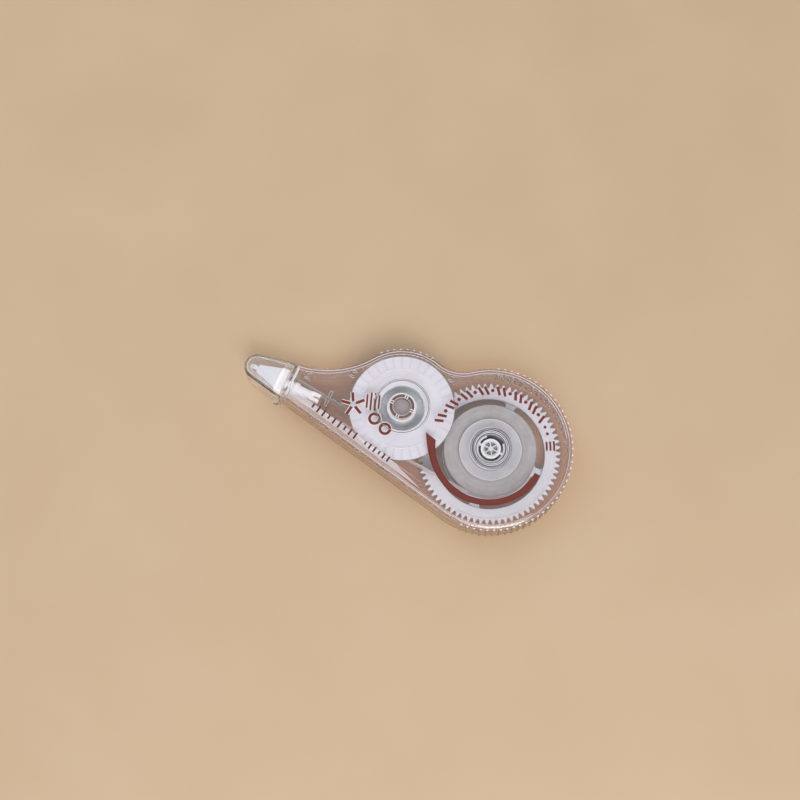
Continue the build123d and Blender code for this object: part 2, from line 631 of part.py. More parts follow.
# ---- applicator head: shank with forked tail, collar, two cheeks and the wedge between them ----
ARM_RADIUS = 0.62
ARM_DEPTH = 0.65
ARM_ROOT_X = CHEEK_TIP_X - 1.0
SHOULDER_X = 55.4
SHOULDER_RADIUS = SHANK_RADIUS + 0.45
SHOULDER_END_X = FRONT_X - WALL - 0.2
COLLAR_CORNER = 2.2
CHEEK_ROOT_X = COLLAR_X + COLLAR_DEPTH - 0.3
CHEEK_TIP_ROUND = 0.6
WEDGE_TIP_X = 68.0
WEDGE_BASE = 2.9
WEDGE_TIP = 0.6
COLLAR_WINDOW_OFFSET = 2.2
COLLAR_WINDOW_WIDTH = 0.9
FORK_GAP = 0.7
FORK_DEPTH = TAIL_DEPTH - 0.6
TAIL_CORNER = 0.4
with BuildPart() as applicator_head:
    with BuildSketch(Plane.YZ.offset(TAIL_X + 1)):
        with Locations((HEAD_Y, AXIS_Z)):
            Circle(SHANK_RADIUS)
    extrude(amount=COLLAR_X - TAIL_X - 1)
    with BuildSketch(Plane.YZ.offset(SHOULDER_X)):
        with Locations((HEAD_Y, AXIS_Z)):
            Circle(SHOULDER_RADIUS)
    extrude(amount=SHOULDER_END_X - SHOULDER_X)
    with BuildSketch(Plane.YZ.offset(TAIL_X)):
        with Locations((HEAD_Y, AXIS_Z)):
            RectangleRounded(TAIL_WIDTH, 2 * SHANK_RADIUS, TAIL_CORNER)
    extrude(amount=TAIL_DEPTH)
    with BuildSketch(Plane.YZ.offset(COLLAR_X)):
        with Locations((HEAD_Y, AXIS_Z)):
            RectangleRounded(COLLAR_WIDTH, COLLAR_HEIGHT, COLLAR_CORNER)
    extrude(amount=COLLAR_DEPTH)
    # cheeks either side of the tape, narrowing towards the tip
    cheek_low = AXIS_Z - CHEEK_GAP / 2 - CHEEK_THICKNESS
    with BuildSketch(Plane.XY.offset(cheek_low)) as cheek_face:
        with BuildLine():
            Polyline(
                (CHEEK_ROOT_X, HEAD_Y - CHEEK_BASE / 2),
                (CHEEK_TIP_X, HEAD_Y - CHEEK_TIP / 2),
                (CHEEK_TIP_X, HEAD_Y + CHEEK_TIP / 2),
                (CHEEK_ROOT_X, HEAD_Y + CHEEK_BASE / 2),
                close=True,
            )
        make_face()
        fillet(vertices().group_by(Axis.X)[-1], radius=CHEEK_TIP_ROUND)
    extrude(amount=CHEEK_THICKNESS)
    with BuildSketch(Plane.XY.offset(AXIS_Z + CHEEK_GAP / 2)):
        add(cheek_face.sketch.moved(Location((0, 0, -cheek_low))))
    extrude(amount=CHEEK_THICKNESS)
    # wedge that joins the cheeks and backs the tape
    with BuildSketch(Plane.XY.offset(AXIS_Z)):
        with BuildLine():
            Polyline(
                (CHEEK_ROOT_X, HEAD_Y - WEDGE_BASE / 2),
                (WEDGE_TIP_X, HEAD_Y - WEDGE_TIP / 2),
                (WEDGE_TIP_X, HEAD_Y + WEDGE_TIP / 2),
                (CHEEK_ROOT_X, HEAD_Y + WEDGE_BASE / 2),
                close=True,
            )
        make_face()
    extrude(amount=CHEEK_GAP / 2 + OVERLAP, both=True)
    # arms that carry the roller's pin
    for arm_low in (cheek_low + CHEEK_THICKNESS - ARM_DEPTH, AXIS_Z + CHEEK_GAP / 2):
        with BuildSketch(Plane.XY.offset(arm_low)):
            with Locations(((ARM_ROOT_X + TIP_X) / 2, HEAD_Y)):
                Rectangle(TIP_X - ARM_ROOT_X, 2 * ARM_RADIUS)
            with Locations((TIP_X, HEAD_Y)):
                Circle(ARM_RADIUS)
        extrude(amount=ARM_DEPTH)
    # windows for the tape through the collar, slot of the forked tail, bore for the pin
    with BuildSketch(Plane.YZ.offset(COLLAR_X - OVERLAP)):
        for side in (-1, 1):
            with Locations((HEAD_Y + side * COLLAR_WINDOW_OFFSET, AXIS_Z)):
                Rectangle(COLLAR_WINDOW_WIDTH, CHEEK_GAP)
    extrude(amount=COLLAR_DEPTH + 2 * OVERLAP, mode=Mode.SUBTRACT)
    with BuildSketch(Plane.XY.offset(AXIS_Z)):
        with Locations((TAIL_X, HEAD_Y)):
            Rectangle(2 * FORK_DEPTH, FORK_GAP)
    extrude(amount=2 * SHANK_RADIUS, both=True, mode=Mode.SUBTRACT)
    with BuildSketch(Plane.XY.offset(AXIS_Z)):
        with Locations((TIP_X, HEAD_Y)):
            Circle(TIP_PIN_RADIUS)
    extrude(amount=THICKNESS, both=True, mode=Mode.SUBTRACT)
applicator_head.part.label = "applicator_head"
export_step(applicator_head.part, "parts/applicator_head.step")

# ---- roller pin and tip roller ----
PIN_HALF_LENGTH = CHEEK_GAP / 2 + ARM_DEPTH - 0.05
ROLLER_HALF_LENGTH = CHEEK_GAP / 2 - 0.08
PIN_RUN = 0.03
with BuildPart() as roller_pin:
    with BuildSketch(Plane.XY.offset(AXIS_Z)):
        with Locations((TIP_X, HEAD_Y)):
            Circle(TIP_PIN_RADIUS)
    extrude(amount=PIN_HALF_LENGTH, both=True)
roller_pin.part.label = "roller_pin"
export_step(roller_pin.part, "parts/roller_pin.step")

with BuildPart() as tip_roller:
    with BuildSketch(Plane.XY.offset(AXIS_Z)):
        with Locations((TIP_X, HEAD_Y)):
            Circle(TIP_RADIUS)
            Circle(TIP_PIN_RADIUS + PIN_RUN, mode=Mode.SUBTRACT)
    extrude(amount=ROLLER_HALF_LENGTH, both=True)
tip_roller.part.label = "tip_roller"
export_step(tip_roller.part, "parts/tip_roller.step")

# ---- tape runs: feed to the head, round the roller, return to the take-up reel ----
RUN_END_X = FRONT_X + 0.65
STAND_OFF = TAPE_CLEARANCE + TAPE_THICKNESS / 2
feed_end = (RUN_END_X, HEAD_Y + WINDOW_OFFSET)
return_end = (RUN_END_X, HEAD_Y - WINDOW_OFFSET)
with BuildPart() as feed_tape:
    with BuildSketch(Plane.XY.offset(TAPE_LOW)):
        leave = tangent_point(SUPPLY, ROLL_RADIUS + STAND_OFF, feed_end, 1)
        add(tape_strip(leave, feed_end))
    extrude(amount=TAPE_WIDTH)
feed_tape.part.label = "feed_tape"
export_step(feed_tape.part, "parts/feed_tape.step")

with BuildPart() as return_tape:
    with BuildSketch(Plane.XY.offset(TAPE_LOW)):
        arrive = tangent_point(TAKEUP, SPENT_RADIUS + STAND_OFF, return_end, 1)
        add(tape_strip(return_end, arrive))
    extrude(amount=TAPE_WIDTH)
return_tape.part.label = "return_tape"
export_step(return_tape.part, "parts/return_tape.step")

with BuildPart() as tip_tape:
    with BuildSketch(Plane.XY.offset(TAPE_LOW)):
        tip = (TIP_X, HEAD_Y)
        wrap_radius = TIP_RADIUS + TAPE_CLEARANCE - 0.02 + TAPE_THICKNESS / 2
        tape_start = (RUN_END_X + OVERLAP, HEAD_Y + WINDOW_OFFSET)
        tape_stop = (RUN_END_X + OVERLAP, HEAD_Y - WINDOW_OFFSET)
        touch = tangent_point(tip, wrap_radius, tape_start, -1)
        touch_angle = direction(tip, touch)
        with BuildLine():
            Line(tape_start, touch)
            arc(tip, wrap_radius, touch_angle, -touch_angle)
            Line(polar(tip, wrap_radius, -touch_angle), tape_stop)
        trace(line_width=TAPE_THICKNESS)
    extrude(amount=TAPE_WIDTH)
tip_tape.part.label = "tip_tape"
export_step(tip_tape.part, "parts/tip_tape.step")

# ---- cap: clear hood over the head, with a small thumb tab at its lower corner ----
CAP_EDGE_ROUND = 1.0
TAB_PLACE = (CAP_X + 1.0, 12.4)
TAB_RADIUS = 1.0
TAB_THICKNESS = 3.0
with BuildPart() as cap:
    with BuildSketch(Plane.XY.offset(CAP_LOW)):
        add(cap_outline(0.0, CAP_X))
    extrude(amount=CAP_HIGH - CAP_LOW)
    rim = edges().filter_by(lambda e: abs(e.center().Z - AXIS_Z) > 1)
    fillet(rim.filter_by(lambda e: e.center().X > CAP_X + OVERLAP), radius=CAP_EDGE_ROUND)
    with BuildSketch(Plane.XY.offset(CAP_LOW + CAP_WALL)):
        add(cap_outline(CAP_WALL, CAP_X - 1))
    extrude(amount=CAP_HIGH - CAP_LOW - 2 * CAP_WALL, mode=Mode.SUBTRACT)
    with BuildSketch(Plane.XY.offset(AXIS_Z)):
        with Locations(TAB_PLACE):
            Circle(TAB_RADIUS)
        add(cap_outline(CAP_WALL / 2, CAP_X - 1), mode=Mode.SUBTRACT)
    extrude(amount=TAB_THICKNESS / 2, both=True)
cap.part.label = "cap"
export_step(cap.part, "parts/cap.step")
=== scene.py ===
import json
import math

import bmesh
import bpy
from mathutils import Matrix, Vector
from mathutils.bvhtree import BVHTree


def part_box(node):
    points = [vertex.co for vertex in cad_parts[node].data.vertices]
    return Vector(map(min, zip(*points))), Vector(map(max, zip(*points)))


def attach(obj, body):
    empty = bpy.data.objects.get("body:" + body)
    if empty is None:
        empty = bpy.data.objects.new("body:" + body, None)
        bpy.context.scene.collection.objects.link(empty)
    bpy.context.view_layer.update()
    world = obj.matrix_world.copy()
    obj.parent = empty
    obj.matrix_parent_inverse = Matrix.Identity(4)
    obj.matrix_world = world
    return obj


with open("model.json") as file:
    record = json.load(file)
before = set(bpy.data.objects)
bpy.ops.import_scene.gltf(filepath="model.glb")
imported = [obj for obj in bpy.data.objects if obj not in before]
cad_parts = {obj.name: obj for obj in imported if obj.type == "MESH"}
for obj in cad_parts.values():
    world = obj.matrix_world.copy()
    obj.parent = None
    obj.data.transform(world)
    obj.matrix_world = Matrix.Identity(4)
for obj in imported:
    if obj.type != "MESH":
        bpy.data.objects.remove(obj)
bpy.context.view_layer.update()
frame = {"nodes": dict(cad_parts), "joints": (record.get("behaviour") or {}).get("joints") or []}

# Looks of the correction tape roller: a clear polished case and cap, white moulded reels and
# head, frosted hub parts, the wound tape and the red print on the front face. Lengths are in
# metres, in the CAD model's frame: origin on the supply axis, +X to the tip, +Z up.

MM = 0.001
NODES = frame["nodes"]
FACE_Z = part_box("front_case")[1].z
SUPPLY = Vector((0.0, 0.0))
TAKEUP = Vector(next(j for j in frame["joints"] if j["name"] == "takeup_spin")["pos_m"][:2])
LONGEST_PATH = 7.5  # ray depth past which light in a clear wall goes straight on
COLLAR_END = 61.5 * MM

# Heights of the level faces and of the lines drawn on them, in millimetres, and the lift that keeps
# a line clear of its face.
FRONT_FACE = round(FACE_Z / MM, 2)
FRONT_UNDERSIDE = 11.8
RIB_TOP = 11.9
CAP_FACE = 12.75
CROSS_TOP = 3.5
GEAR_TOP = 3.6
POST_FACE = 11.42
SUNK_LINE = 12.9
RING_FLOOR = 12.70
PLUG_END = 9.57
ROLL_LINE = 9.01
REEL_LINE = 9.97
LIFT = 0.012
LINE_Z = FRONT_FACE + LIFT


# ---- materials -------------------------------------------------------------------------------


class Paint:
    """A procedural material around one Principled shader."""

    def __init__(self, name, **values):
        self.material = bpy.data.materials.new(name)
        self.material.use_nodes = True
        self.tree = self.material.node_tree
        self.shader = self.tree.nodes["Principled BSDF"]
        self.output = self.tree.nodes["Material Output"]
        for socket, value in values.items():
            self.shader.inputs[socket.replace("_", " ")].default_value = value
        self.place = self.node("ShaderNodeTexCoord").outputs["Object"]

    def node(self, kind, **settings):
        made = self.tree.nodes.new(kind)
        for key, value in settings.items():
            setattr(made, key, value)
        return made

    def link(self, source, target):
        self.tree.links.new(source, target)

    def math(self, operation, first, second=0.0):
        made = self.node("ShaderNodeMath", operation=operation)
        for socket, value in zip(made.inputs, (first, second)):
            if isinstance(value, (int, float)):
                socket.default_value = value
            else:
                self.link(value, socket)
        return made.outputs[0]

    def noise(self, size, detail, place=None, distortion=0.0):
        """Noise whose features are about size metres across."""
        made = self.node("ShaderNodeTexNoise")
        made.inputs["Scale"].default_value = 1.0 / size
        made.inputs["Detail"].default_value = detail
        made.inputs["Distortion"].default_value = distortion
        self.link(place or self.place, made.inputs["Vector"])
        return made.outputs["Fac"]

    def stretched(self, scale):
        """Object coordinates scaled apart along the axes."""
        made = self.node("ShaderNodeMapping")
        made.inputs["Scale"].default_value = scale
        self.link(self.place, made.inputs["Vector"])
        return made.outputs["Vector"]

    def from_axis(self, centre):
        """Place measured from an axis that runs along Z, with no height."""
        moved = self.node("ShaderNodeMapping")
        moved.inputs["Location"].default_value = (-centre[0], -centre[1], 0)
        moved.inputs["Scale"].default_value = (1, 1, 0)
        self.link(self.place, moved.inputs["Vector"])
        return moved.outputs["Vector"]

    def radius(self, centre):
        """Distance from an axis that runs along Z."""
        length = self.node("ShaderNodeVectorMath", operation="LENGTH")
        self.link(self.from_axis(centre), length.inputs[0])
        return length.outputs["Value"]

    def turns(self, centre):
        """Angle about an axis that runs along Z, from -0.5 to 0.5 of a turn."""
        parts = self.node("ShaderNodeSeparateXYZ")
        self.link(self.from_axis(centre), parts.inputs[0])
        angle = self.math("ARCTAN2", parts.outputs["Y"], parts.outputs["X"])
        return self.math("DIVIDE", angle, math.tau)

    def mix(self, factor, first, second):
        """Blends two colours, each a socket or a fixed colour."""
        made = self.node("ShaderNodeMix", data_type="RGBA")
        self.link(factor, made.inputs["Factor"])
        for name, value in (("A", first), ("B", second)):
            socket = next(i for i in made.inputs if i.name == name and i.type == "RGBA")
            if isinstance(value, tuple):
                socket.default_value = (*value, 1.0)
            else:
                self.link(value, socket)
        return next(o for o in made.outputs if o.type == "RGBA")

    def step(self, value, edge, softness):
        """Rises from 0 to 1 where a value passes an edge."""
        made = self.node("ShaderNodeMapRange", interpolation_type="SMOOTHSTEP")
        made.inputs["From Min"].default_value = edge - softness / 2
        made.inputs["From Max"].default_value = edge + softness / 2
        self.link(value, made.inputs["Value"])
        return made.outputs["Result"]

    def ramp(self, factor, *stops):
        """Colour ramp through (position, colour) stops."""
        made = self.node("ShaderNodeValToRGB")
        elements = made.color_ramp.elements
        while len(elements) < len(stops):
            elements.new(1.0)
        for element, (position, colour) in zip(elements, stops):
            element.position = position
            element.color = (*colour, 1.0)
        self.link(factor, made.inputs["Fac"])
        return made.outputs["Color"]

    def spread(self, factor, low, high):
        """Maps a 0 to 1 value to a range."""
        made = self.node("ShaderNodeMapRange")
        made.inputs["To Min"].default_value = low
        made.inputs["To Max"].default_value = high
        self.link(factor, made.inputs["Value"])
        return made.outputs["Result"]

    def colour(self, source):
        self.link(source, self.shader.inputs["Base Color"])

    def rough(self, source):
        self.link(source, self.shader.inputs["Roughness"])

    def bump(self, height, depth, strength):
        """Adds relief of a depth in metres."""
        made = self.node("ShaderNodeBump")
        made.inputs["Strength"].default_value = strength
        made.inputs["Distance"].default_value = depth
        self.link(height, made.inputs["Height"])
        if self.shader.inputs["Normal"].links:
            self.link(self.shader.inputs["Normal"].links[0].from_socket, made.inputs["Normal"])
        self.link(made.outputs["Normal"], self.shader.inputs["Normal"])

    def let_light_in(self, tint_and_shade):
        """Lamps and ambient light pass straight through, as they do through thin clear plastic.
        So does light that has been turned many times inside a wall, in place of being lost."""
        rays = self.node("ShaderNodeLightPath")
        clear = self.node("ShaderNodeBsdfTransparent")
        clear.inputs["Color"].default_value = (*tint_and_shade, 1.0)
        mixed = self.node("ShaderNodeMixShader")
        either = self.math("MAXIMUM", rays.outputs["Is Shadow Ray"], rays.outputs["Is Diffuse Ray"])
        trapped = self.math("GREATER_THAN", rays.outputs["Ray Depth"], LONGEST_PATH)
        self.link(self.math("MAXIMUM", either, trapped), mixed.inputs["Fac"])
        self.link(self.shader.outputs["BSDF"], mixed.inputs[1])
        self.link(clear.outputs["BSDF"], mixed.inputs[2])
        self.link(mixed.outputs["Shader"], self.output.inputs["Surface"])


def clear_plastic(name, tint_and_shade, lamp_tint_and_shade):
    """Polished clear styrene: faint moulding waves, fine rub marks and a slight colour cast; a
    darker, browner cast is painted shade.
    """
    paint = Paint(name, IOR=1.49, Transmission_Weight=0.965)
    haze = paint.noise(9 * MM, 3.0)
    tone = paint.ramp(haze, (0.3, tint_and_shade), (0.75, tuple(min(1.0, c + 0.012) for c in tint_and_shade)))
    paint.colour(tone)
    rubbed = paint.noise(0.9 * MM, 8.0, paint.stretched((1.0, 6.0, 1.0)))
    paint.rough(paint.spread(rubbed, 0.0, 0.03))
    paint.bump(paint.noise(7 * MM, 2.0), 0.05 * MM, 0.12)
    paint.let_light_in(lamp_tint_and_shade)
    return paint.material


def moulded_white(name, light, shade, roughness, glow=0.12):
    """Opaque moulded plastic: soft tone variation, fine grain and faint flow lines."""
    paint = Paint(
        name,
        IOR=1.5,
        Subsurface_Weight=glow,
        Subsurface_Scale=0.6 * MM,
        Subsurface_Radius=(1.0, 0.9, 0.95),
    )
    tone = paint.noise(5 * MM, 5.0, distortion=0.6)
    paint.colour(paint.ramp(tone, (0.25, shade), (0.7, light)))
    wear = paint.noise(1.3 * MM, 8.0)
    paint.rough(paint.spread(wear, roughness - 0.08, roughness + 0.1))
    paint.bump(paint.noise(0.25 * MM, 3.0), 0.012 * MM, 0.35)
    paint.bump(paint.noise(4 * MM, 2.0, distortion=1.5), 0.03 * MM, 0.3)
    return paint.material


def head_white(name, collar_end):
    """Applicator head: collar and shank bright white with a painted glow, and the faces past the
    collar in a bluish-grey painted shade.
    """
    paint = Paint(name, IOR=1.5, Subsurface_Weight=0.1, Subsurface_Scale=0.6 * MM)
    parts = paint.node("ShaderNodeSeparateXYZ")
    paint.link(paint.place, parts.inputs[0])
    tone = paint.noise(4 * MM, 5.0, distortion=0.6)
    bright = paint.ramp(tone, (0.25, (0.93, 0.93, 0.95)), (0.7, (0.97, 0.97, 0.985)))
    # Bluish-grey, darker painted shade for the cheek faces past the collar end.
    cheek_shade_colour = paint.ramp(tone, (0.25, (0.76, 0.785, 0.85)), (0.7, (0.82, 0.84, 0.89)))
    cheek_shade_mask = paint.step(parts.outputs["X"], collar_end, 0.3 * MM)
    paint.colour(paint.mix(cheek_shade_mask, bright, cheek_shade_colour))
    # Painted glow: the collar and shank give off a faint white light of their own, and the shaded
    # faces past the collar give off none.
    paint.shader.inputs["Emission Color"].default_value = (1.0, 1.0, 1.0, 1.0)
    glow = paint.math("MULTIPLY", paint.math("SUBTRACT", 1.0, cheek_shade_mask), 0.2)
    paint.link(glow, paint.shader.inputs["Emission Strength"])
    paint.rough(paint.spread(paint.noise(1.3 * MM, 8.0), 0.2, 0.38))
    paint.bump(paint.noise(0.25 * MM, 3.0), 0.012 * MM, 0.35)
    return paint.material


def reel_white(name, centre):
    """Take-up reel: white flange with faint radial flow lines and turned rings, and a drum recess
    whose floor is a darker grey-green painted shade in three sectors."""
    paint = Paint(name, IOR=1.5, Subsurface_Weight=0.12, Subsurface_Scale=0.6 * MM)
    away = paint.radius(centre)
    turn = paint.turns(centre)
    tone = paint.noise(5 * MM, 5.0, distortion=0.6)
    white = paint.ramp(tone, (0.25, (0.81, 0.80, 0.85)), (0.7, (0.87, 0.865, 0.91)))
    spokes = paint.math("FRACT", paint.math("MULTIPLY", turn, 34.0))
    spokes = paint.step(spokes, 0.72, 0.3)
    outer = paint.step(away, 11.4 * MM, 0.5 * MM)
    flow = paint.math("MULTIPLY", paint.math("MULTIPLY", spokes, outer), 0.45)
    lined = paint.mix(flow, white, (0.66, 0.65, 0.71))
    # Painted shade on the drum recess floor: darker grey-green over most of each third of a turn,
    # white between.
    shade_sector = paint.math("FRACT", paint.math("MULTIPLY", turn, 3.0))
    floor = paint.ramp(
        shade_sector,
        (0.0, (0.70, 0.77, 0.745)),
        (0.62, (0.74, 0.80, 0.78)),
        (0.66, (0.90, 0.91, 0.93)),
    )
    inside = paint.math("SUBTRACT", 1.0, paint.step(away, 6.5 * MM, 0.1 * MM))
    recess_shade_mask = paint.math("MULTIPLY", inside, paint.step(away, 4.2 * MM, 0.1 * MM))
    paint.colour(paint.mix(recess_shade_mask, lined, floor))
    paint.rough(paint.spread(paint.noise(1.3 * MM, 8.0), 0.24, 0.42))
    rings = paint.math("SINE", paint.math("MULTIPLY", away, math.tau / (0.55 * MM)))
    paint.bump(rings, 0.006 * MM, 0.4)
    paint.bump(paint.math("MULTIPLY", spokes, outer), 0.02 * MM, 0.5)
    paint.bump(paint.noise(0.25 * MM, 3.0), 0.01 * MM, 0.35)
    return paint.material


def frosted_plastic(name, dark, light, clearness):
    """Milky translucent plastic with a satin face."""
    paint = Paint(name, IOR=1.49, Transmission_Weight=clearness)
    tone = paint.noise(3 * MM, 5.0)
    paint.colour(paint.ramp(tone, (0.3, dark), (0.7, light)))
    paint.rough(paint.spread(paint.noise(0.5 * MM, 6.0), 0.28, 0.5))
    paint.bump(paint.noise(0.3 * MM, 3.0), 0.012 * MM, 0.4)
    paint.let_light_in((0.75, 0.74, 0.75))
    return paint.material


def wound_tape(name, centre, light, dark):
    """Edge of a wound roll: fine rings a turn apart, uneven tension bands and dust."""
    turn = 0.11 * MM
    paint = Paint(name, IOR=1.45, Roughness=0.5)
    away = paint.radius(centre)
    uneven = paint.math("MULTIPLY", paint.noise(2.2 * MM, 4.0), 0.35 * turn)
    turns = paint.math("MULTIPLY", paint.math("ADD", away, uneven), 1.0 / turn)
    wave = paint.math("FRACT", turns)
    bands = paint.node("ShaderNodeTexNoise", noise_dimensions="1D")
    bands.inputs["Scale"].default_value = 1.0 / (0.7 * MM)
    bands.inputs["Detail"].default_value = 3.0
    paint.link(away, bands.inputs["W"])
    cloud = paint.noise(2.0 * MM, 4.0)
    slow = paint.math("MULTIPLY", bands.outputs["Fac"], 0.25)
    tone = paint.math("ADD", slow, paint.math("MULTIPLY", cloud, 0.55))
    tone = paint.math("ADD", tone, paint.math("MULTIPLY", wave, 0.2))
    paint.colour(paint.ramp(tone, (0.3, dark), (0.72, light)))
    paint.rough(paint.spread(bands.outputs["Fac"], 0.38, 0.62))
    paint.bump(wave, 0.02 * MM, 0.5)
    return paint.material


def tape_face(name, colour, see_through):
    """Thin tape: satin coating with fine lengthwise streaks."""
    paint = Paint(name, IOR=1.45, Transmission_Weight=see_through)
    streaks = paint.noise(0.6 * MM, 5.0, paint.stretched((0.15, 1.0, 4.0)))
    darker = tuple(0.9 * c for c in colour)
    paint.colour(paint.ramp(streaks, (0.3, darker), (0.7, colour)))
    paint.rough(paint.spread(streaks, 0.25, 0.45))
    paint.bump(streaks, 0.01 * MM, 0.4)
    return paint.material


def brushed_pin(name):
    """Drawn steel with lengthwise lines."""
    paint = Paint(name, Metallic=1.0)
    lines = paint.noise(0.15 * MM, 6.0, paint.stretched((6.0, 6.0, 0.3)))
    paint.colour(paint.ramp(lines, (0.3, (0.52, 0.52, 0.54)), (0.7, (0.68, 0.68, 0.70))))
    paint.rough(paint.spread(lines, 0.2, 0.4))
    paint.bump(lines, 0.006 * MM, 0.5)
    return paint.material


def pad_print(name, colour):
    """Pad-printed ink: slightly uneven density with a dull sheen."""
    paint = Paint(name, IOR=1.45)
    density = paint.noise(0.45 * MM, 6.0)
    thin = tuple(min(1.0, 1.22 * c + 0.01) for c in colour)
    paint.colour(paint.ramp(density, (0.35, colour), (0.72, thin)))
    paint.rough(paint.spread(paint.noise(0.2 * MM, 4.0), 0.3, 0.5))
    paint.bump(density, 0.01 * MM, 0.4)
    return paint.material


CLEAR_FRONT = clear_plastic("clear_front_look", (0.955, 0.935, 0.95), (0.97, 0.965, 0.98))
# Painted shade: the back case is the same clear plastic with a browner, darker cast, and it dims the
# lamps that pass it, so the inside of the case and the floor under it read darker.
CLEAR_BACK_SHADED = clear_plastic("clear_back_shaded_look", (0.935, 0.845, 0.785), (0.86, 0.72, 0.62))
CLEAR_CAP = clear_plastic("clear_cap_look", (0.975, 0.965, 0.975), (0.985, 0.975, 0.98))
WHITE = moulded_white("white_reel_look", (0.86, 0.855, 0.90), (0.80, 0.79, 0.84), 0.36)
HEAD_WHITE = head_white("head_look", COLLAR_END)
ROLLER_WHITE = moulded_white("roller_look", (0.90, 0.90, 0.93), (0.84, 0.84, 0.88), 0.3)
HUB_WHITE = moulded_white("hub_look", (0.78, 0.775, 0.79), (0.66, 0.655, 0.67), 0.22)
FROSTED = frosted_plastic("frosted_look", (0.62, 0.62, 0.63), (0.73, 0.73, 0.735), 0.35)
ROLL = wound_tape("tape_roll_look", SUPPLY, (0.50, 0.475, 0.47), (0.36, 0.34, 0.335))
SPENT = wound_tape("spent_tape_look", TAKEUP, (0.72, 0.70, 0.71), (0.56, 0.54, 0.55))
TAPE = tape_face("tape_look", (0.82, 0.81, 0.82), 0.0)
FILM = tape_face("film_look", (0.80, 0.79, 0.80), 0.5)
PIN = brushed_pin("pin_look")
INK = pad_print("print_look", (0.165, 0.024, 0.015))
INK_SHADE = pad_print("print_shade_look", (0.075, 0.014, 0.010))
INK_WHITE = pad_print("white_print_look", (0.80, 0.79, 0.80))
REEL = reel_white("takeup_reel_look", TAKEUP)
# Painted highlight: white for thin lines where sharp edges catch the light.
PAINTED_GLINT = moulded_white("painted_glint_look", (0.93, 0.92, 0.95), (0.84, 0.83, 0.87), 0.3)
# Painted shade: near black for thin lines where edges hide the light.
PAINTED_EDGE_SHADE = moulded_white("edge_shade_look", (0.13, 0.12, 0.13), (0.08, 0.075, 0.08), 0.3, glow=0.0)
SOFT_SHADE = moulded_white("soft_shade_look", (0.30, 0.24, 0.23), (0.22, 0.17, 0.16), 0.4, glow=0.0)
# Painted sheen: lilac-white for light gathered in the case rim on the sides away from the long
# lamps.
LILAC_RIM_SHEEN = moulded_white("lilac_rim_sheen_look", (0.78, 0.70, 0.75), (0.68, 0.60, 0.65), 0.3)
# Painted shade: dark brown for the card seen through the slots over the take-up post.
SLOT_SHADE_BROWN = moulded_white("slot_shade_look", (0.26, 0.135, 0.10), (0.19, 0.095, 0.07), 0.4, glow=0.0)


def veil(name, light, shade, cover):
    """Thin veil of light in a clear wall, through which the rest shows."""
    material = moulded_white(name, light, shade, 0.3, glow=0.0)
    material.node_tree.nodes["Principled BSDF"].inputs["Alpha"].default_value = cover
    return material


WALL_LIGHT = veil("wall_light_look", (0.88, 0.84, 0.88), (0.80, 0.75, 0.80), 0.6)
WALL_SHEEN = veil("wall_sheen_look", (0.80, 0.72, 0.74), (0.72, 0.63, 0.65), 0.35)
PLUG_GRAIN = frosted_plastic("plug_grain_look", (0.60, 0.52, 0.52), (0.68, 0.60, 0.60), 0.35)

NODE_LOOKS = {
    "back_case": CLEAR_BACK_SHADED,
    "front_case": CLEAR_FRONT,
    "cap": CLEAR_CAP,
    "supply_axle": HUB_WHITE,
    "clutch_ring": HUB_WHITE,
    "drive_gear": WHITE,
    "takeup_pinion": WHITE,
    "takeup_reel": REEL,
    "applicator_head": HEAD_WHITE,
    "tip_roller": ROLLER_WHITE,
    "supply_core": FROSTED,
    "core_flange": FROSTED,
    "tape_roll": ROLL,
    "spent_tape": SPENT,
    "feed_tape": TAPE,
    "tip_tape": TAPE,
    "return_tape": FILM,
    "roller_pin": PIN,
}

EDGE_BREAKS = {
    "drive_gear": 0.08,
    "takeup_pinion": 0.08,
    "takeup_reel": 0.12,
    "applicator_head": 0.15,
    "supply_axle": 0.06,
    "clutch_ring": 0.08,
    "supply_core": 0.1,
}


def break_edges(piece, width):
    """Rounds the sharp edges slightly, so that they catch the light as moulded edges do."""
    weld = piece.modifiers.new("weld", "WELD")
    weld.merge_threshold = 0.002 * MM
    bevel = piece.modifiers.new("edge_break", "BEVEL")
    bevel.width = width * MM
    bevel.segments = 2
    bevel.limit_method = "ANGLE"
    bevel.angle_limit = math.radians(40)
    bevel.use_clamp_overlap = True
    bevel.harden_normals = False
    normals = piece.modifiers.new("normals", "WEIGHTED_NORMAL")
    normals.keep_sharp = False
    normals.weight = 80


for node, look in NODE_LOOKS.items():
    piece = NODES[node]
    for holder in piece.material_slots:
        holder.material = look
    if node in EDGE_BREAKS:
        break_edges(piece, EDGE_BREAKS[node])


# ---- meshes made here ------------------------------------------------------------------------


def new_piece(name, build, look, body, smooth=False):
    """Makes a mesh object with a bmesh builder, and puts it on a body."""
    mesh = bmesh.new()
    build(mesh)
    bmesh.ops.recalc_face_normals(mesh, faces=mesh.faces)
    data = bpy.data.meshes.new(name)
    mesh.to_mesh(data)
    mesh.free()
    for face in data.polygons:
        face.use_smooth = smooth
    piece = bpy.data.objects.new(name, data)
    bpy.context.collection.objects.link(piece)
    data.materials.append(look)
    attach(piece, body)
    return piece


def face_height():
    """A function that gives the height of the front case's outer face at an X and Y."""
    source = NODES["front_case"].data
    tree = BVHTree.FromPolygons(
        [v.co.copy() for v in source.vertices], [tuple(p.vertices) for p in source.polygons]
    )
    start = FACE_Z + MM

    def height(x, y):
        place, _, _, _ = tree.ray_cast(Vector((x, y, start)), Vector((0, 0, -1)), 3 * MM)
        return place.z if place and place.z > FACE_Z - 0.6 * MM else FACE_Z

    return height


